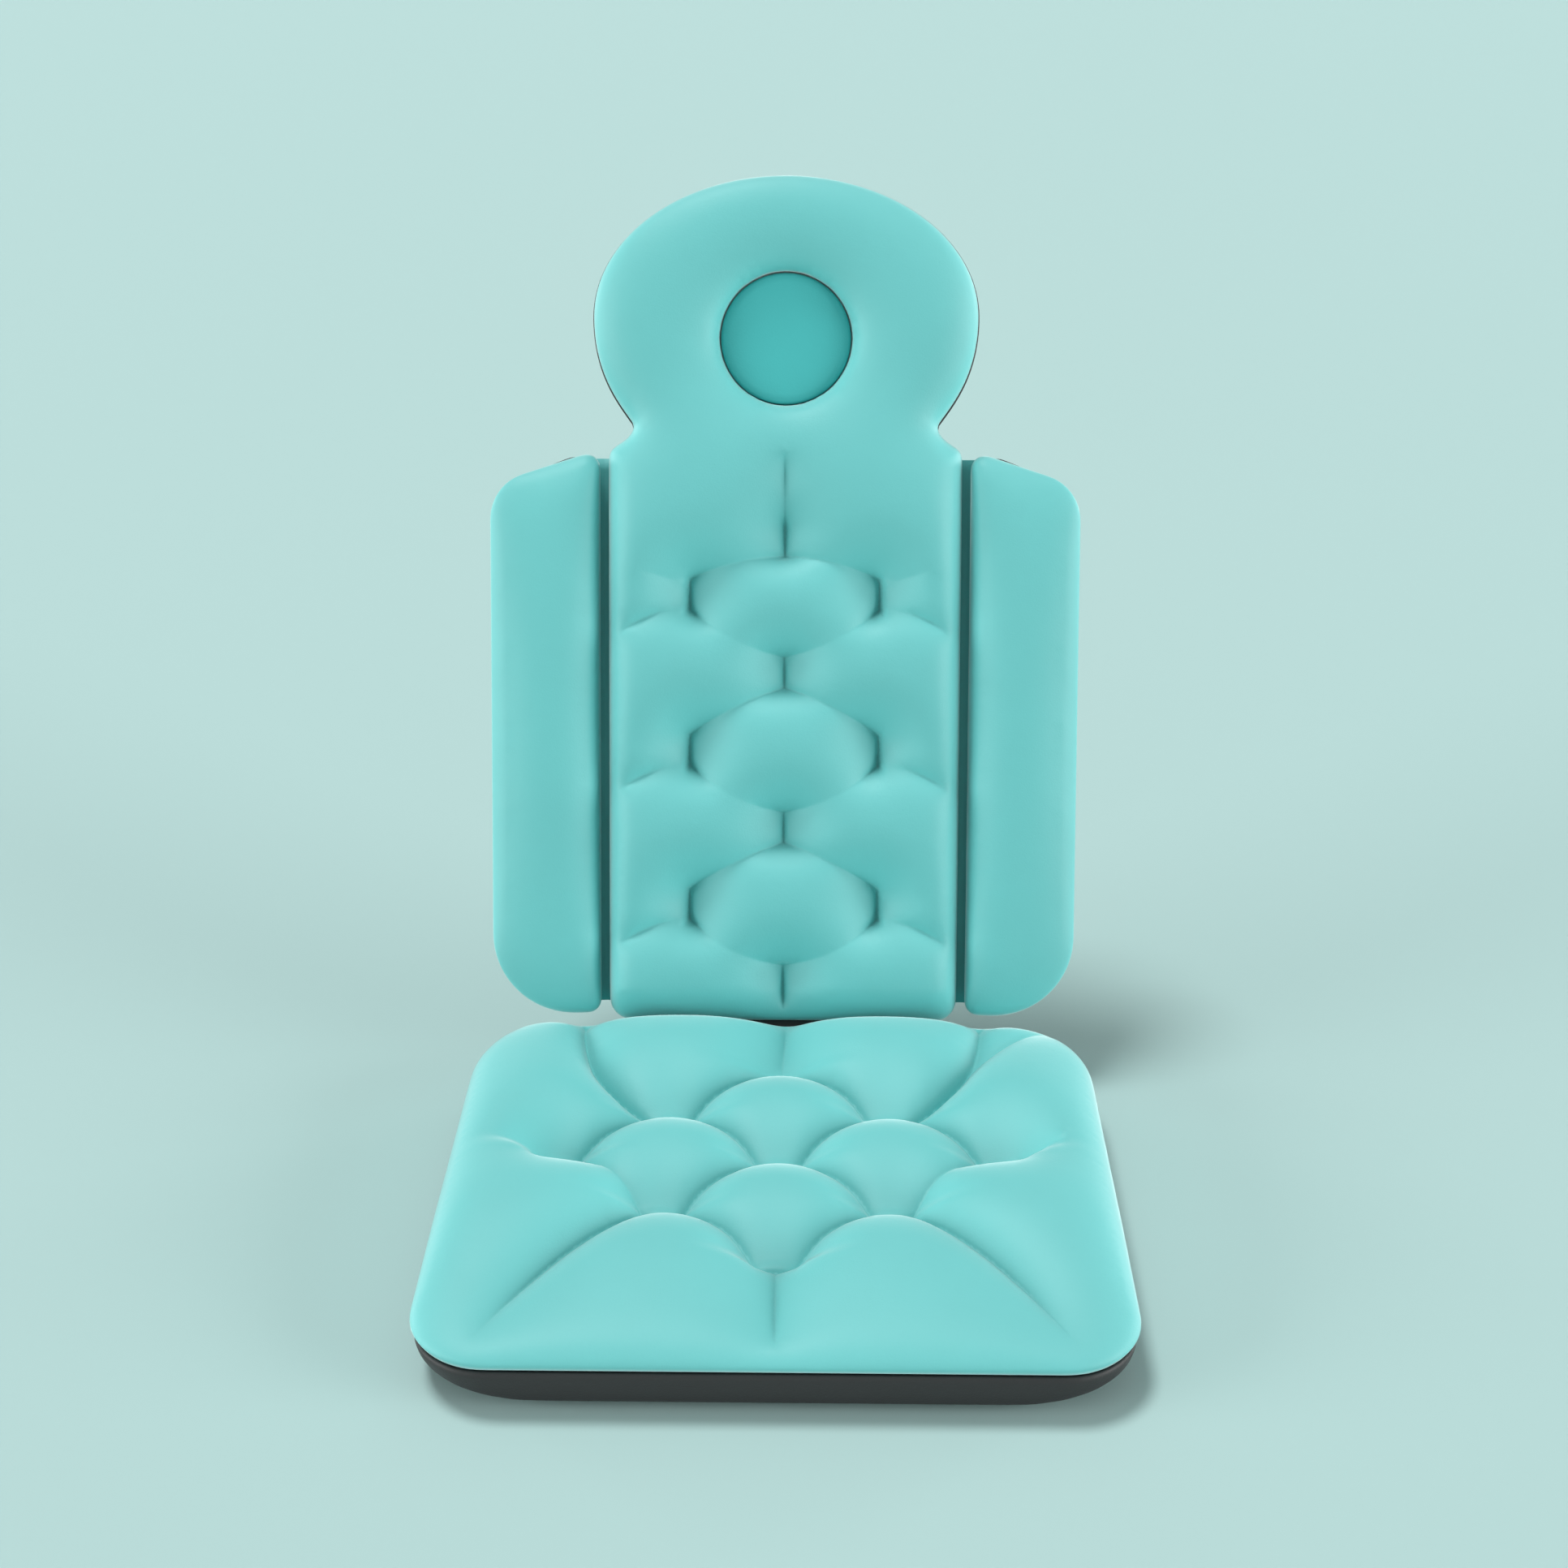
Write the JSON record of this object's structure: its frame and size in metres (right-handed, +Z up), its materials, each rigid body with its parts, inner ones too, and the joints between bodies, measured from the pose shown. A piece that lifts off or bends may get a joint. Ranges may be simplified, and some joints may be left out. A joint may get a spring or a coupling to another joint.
{
  "type": "bath pillow",
  "caption": "Full-body bath pillow: tufted seat cushion, reclining tufted back with folding side wings and a round headrest with a sunken centre, on suction cups.",
  "frame": {"origin": "under the middle of the whole pillow, on the surface that its seat cups stand on", "axes": "+Z up, +X to the right seen from the front, the pillow faces -Y"},
  "size_m": [0.436, 0.5978, 0.6118],
  "materials": {
    "teal_fabric": "soft pile, sheen",
    "deep_teal_fabric": "soft pile, flat",
    "grey_fabric": "woven, matte",
    "wadding": "fibre filling",
    "clear_rubber": "smooth, translucent"
  },
  "bodies": {
    "seat": {"seat_cushion": "teal_fabric", "seat_base": "grey_fabric", "seat_filling": "wadding", "seat_cup_1": "clear_rubber", "seat_cup_2": "clear_rubber", "seat_cup_3": "clear_rubber", "seat_cup_4": "clear_rubber", "seat_cup_5": "clear_rubber", "seat_cup_6": "clear_rubber", "seat_hinge_web": "grey_fabric"},
    "backrest": {"back_cushion": "teal_fabric", "back_backing": "grey_fabric", "back_filling": "wadding", "back_cup_1": "clear_rubber", "back_cup_2": "clear_rubber", "back_cup_3": "clear_rubber", "back_cup_4": "clear_rubber", "neck_cushion": "teal_fabric", "neck_backing": "grey_fabric", "left_wing_web": "grey_fabric", "right_wing_web": "grey_fabric"},
    "headrest": {"head_cushion": "teal_fabric", "head_recess_panel": "deep_teal_fabric", "head_backing": "grey_fabric", "head_filling": "wadding", "head_cup_1": "clear_rubber", "head_cup_2": "clear_rubber"},
    "left_wing": {"left_wing_cushion": "teal_fabric", "left_wing_backing": "grey_fabric", "left_wing_filling": "wadding"},
    "right_wing": {"right_wing_cushion": "teal_fabric", "right_wing_backing": "grey_fabric", "right_wing_filling": "wadding"}
  },
  "joints": [
    {"name": "backrest_fold", "type": "hinge", "parent": "seat", "child": "backrest", "pos_m": [0, 0.08105, 0.031], "axis": [1, 0, 0], "range_deg": [-70, 10], "deforming": ["seat_hinge_web"]},
    {"name": "left_wing_fold", "type": "hinge", "parent": "backrest", "child": "left_wing", "pos_m": [-0.13, 0.08105, 0.031], "axis": [0, 0.342, 0.9397], "range_deg": [-50, 30], "deforming": ["left_wing_web"]},
    {"name": "right_wing_fold", "type": "hinge", "parent": "backrest", "child": "right_wing", "pos_m": [0.13, 0.08105, 0.031], "axis": [0, -0.342, -0.9397], "range_deg": [-50, 30], "deforming": ["right_wing_web"]},
    {"name": "headrest_flex", "type": "hinge", "parent": "backrest", "child": "headrest", "pos_m": [0, 0.22778, 0.43413], "axis": [1, 0, 0], "range_deg": [-35, 25], "stiffness_Nm_per_rad": 3, "springref_deg": 0.77, "deforming": ["neck_cushion", "neck_backing"]}
  ]
}
